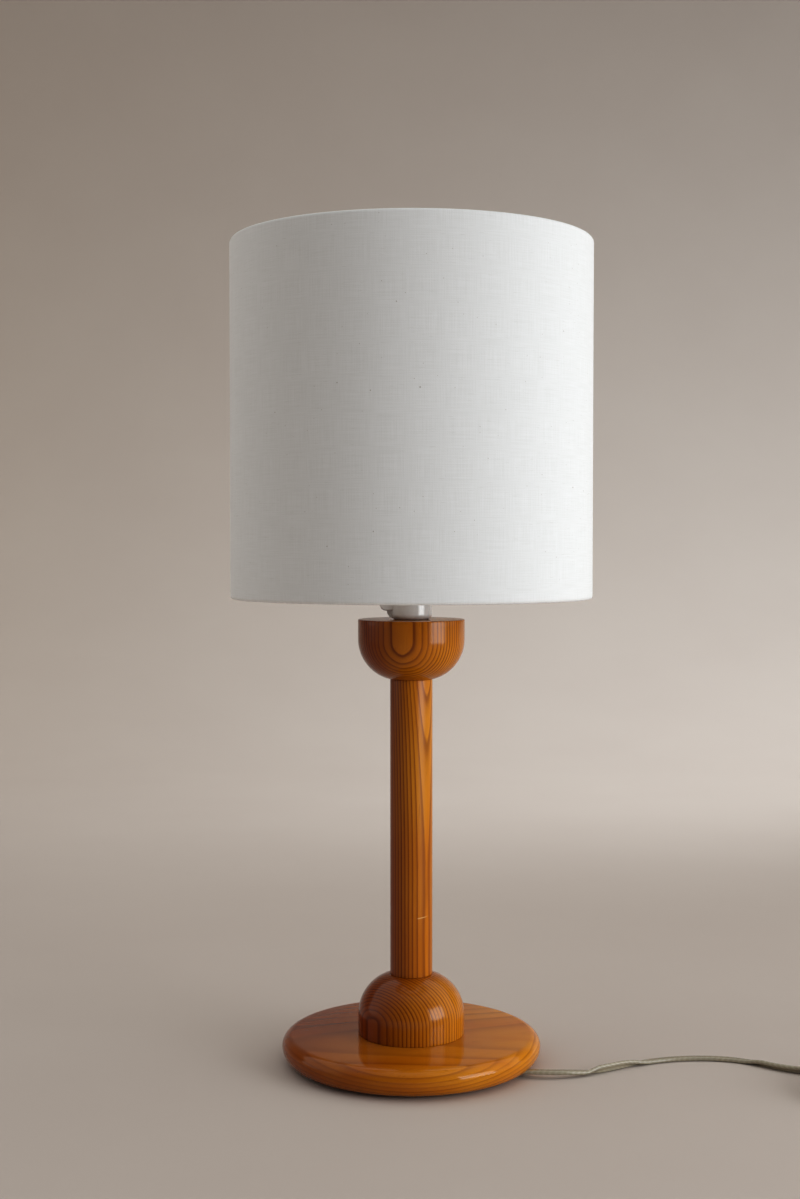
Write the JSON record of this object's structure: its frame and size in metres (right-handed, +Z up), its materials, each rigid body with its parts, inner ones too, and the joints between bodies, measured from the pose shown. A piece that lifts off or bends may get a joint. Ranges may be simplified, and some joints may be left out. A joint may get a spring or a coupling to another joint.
{
  "type": "table lamp",
  "caption": "Column table lamp in turned pine with a round foot, dome, column and bowl, a small switched lamp holder, a straight white drum shade and a flat flex with a plug.",
  "frame": {"origin": "centre of the foot's underside, on the table", "axes": "+Z up along the column, -Y towards the front, +X to the right where the flex leaves; the holder's switch is at -X"},
  "size_m": [0.5116, 0.25, 0.5692],
  "materials": {
    "lacquered_pine": "clear gloss lacquer over honey-coloured pine",
    "dark_felt": "matt felt",
    "zinc_steel": "zinc-plated",
    "white_plastic": "glossy moulded",
    "phenolic": "moulded phenolic",
    "contact_brass": "bright brass",
    "core_insulation": "soft insulation",
    "cap_metal": "bright",
    "bulb_clear_glass": "clear",
    "lead_wire": "drawn wire",
    "shade_cloth": "plain-woven white cloth",
    "shade_lining": "satin film",
    "shade_wire": "white powder coat",
    "clear_flex": "translucent grey-green",
    "tie_strip": "soft strip",
    "plug_plastic": "satin moulded",
    "pin_metal": "nickel-plated"
  },
  "bodies": {
    "lamp": {"base_disc": "lacquered_pine", "lower_dome": "lacquered_pine", "column": "lacquered_pine", "upper_bowl": "lacquered_pine", "felt_pad": "dark_felt", "threaded_rod": "zinc_steel", "lower_washer": "zinc_steel", "lower_nut": "zinc_steel", "lock_washer": "zinc_steel", "upper_washer": "zinc_steel", "upper_nut": "zinc_steel", "clamp_screws": "zinc_steel", "holder_lock_screw": "zinc_steel", "rocker_pin": "zinc_steel", "holder_cap": "white_plastic", "holder_sleeve": "white_plastic", "shade_retaining_ring": "white_plastic", "flex_clamp": "white_plastic", "holder_core": "phenolic", "screw_shell": "contact_brass", "centre_contact": "contact_brass", "switch_post": "contact_brass", "terminal_screws": "contact_brass", "core_wires": "core_insulation", "bulb_cap": "cap_metal", "bulb_glass": "bulb_clear_glass", "bulb_stem": "bulb_clear_glass", "bulb_leads": "lead_wire", "bulb_filament": "lead_wire", "shade_fabric": "shade_cloth", "shade_upper_hem": "shade_cloth", "shade_lower_hem": "shade_cloth", "shade_liner": "shade_lining", "shade_upper_wire": "shade_wire", "shade_lower_wire": "shade_wire", "shade_arms": "shade_wire", "shade_carrier_ring": "shade_wire", "flex_inside": "clear_flex", "flex_run": "clear_flex", "flex_coil": "clear_flex", "flex_tail": "clear_flex", "flex_tie": "tie_strip", "plug_body": "plug_plastic", "plug_pin_sleeves": "plug_plastic", "plug_pins": "pin_metal"},
    "rocker": {"switch_rocker": "white_plastic"},
    "seesaw": {"switch_seesaw": "contact_brass"}
  },
  "joints": [
    {"name": "rocker_tilt", "type": "hinge", "parent": "lamp", "child": "rocker", "pos_m": [-0.0198, 0, 0.3277], "axis": [0, 1, 0], "range_deg": [0, 14]},
    {"name": "seesaw_tilt", "type": "hinge", "parent": "lamp", "child": "seesaw", "pos_m": [-0.0163, 0, 0.3277], "axis": [0, 1, 0], "range_deg": [-14, 0]}
  ],
  "couplings": [
    {"joint": "seesaw_tilt", "follows": "rocker_tilt", "ratio": -1}
  ]
}
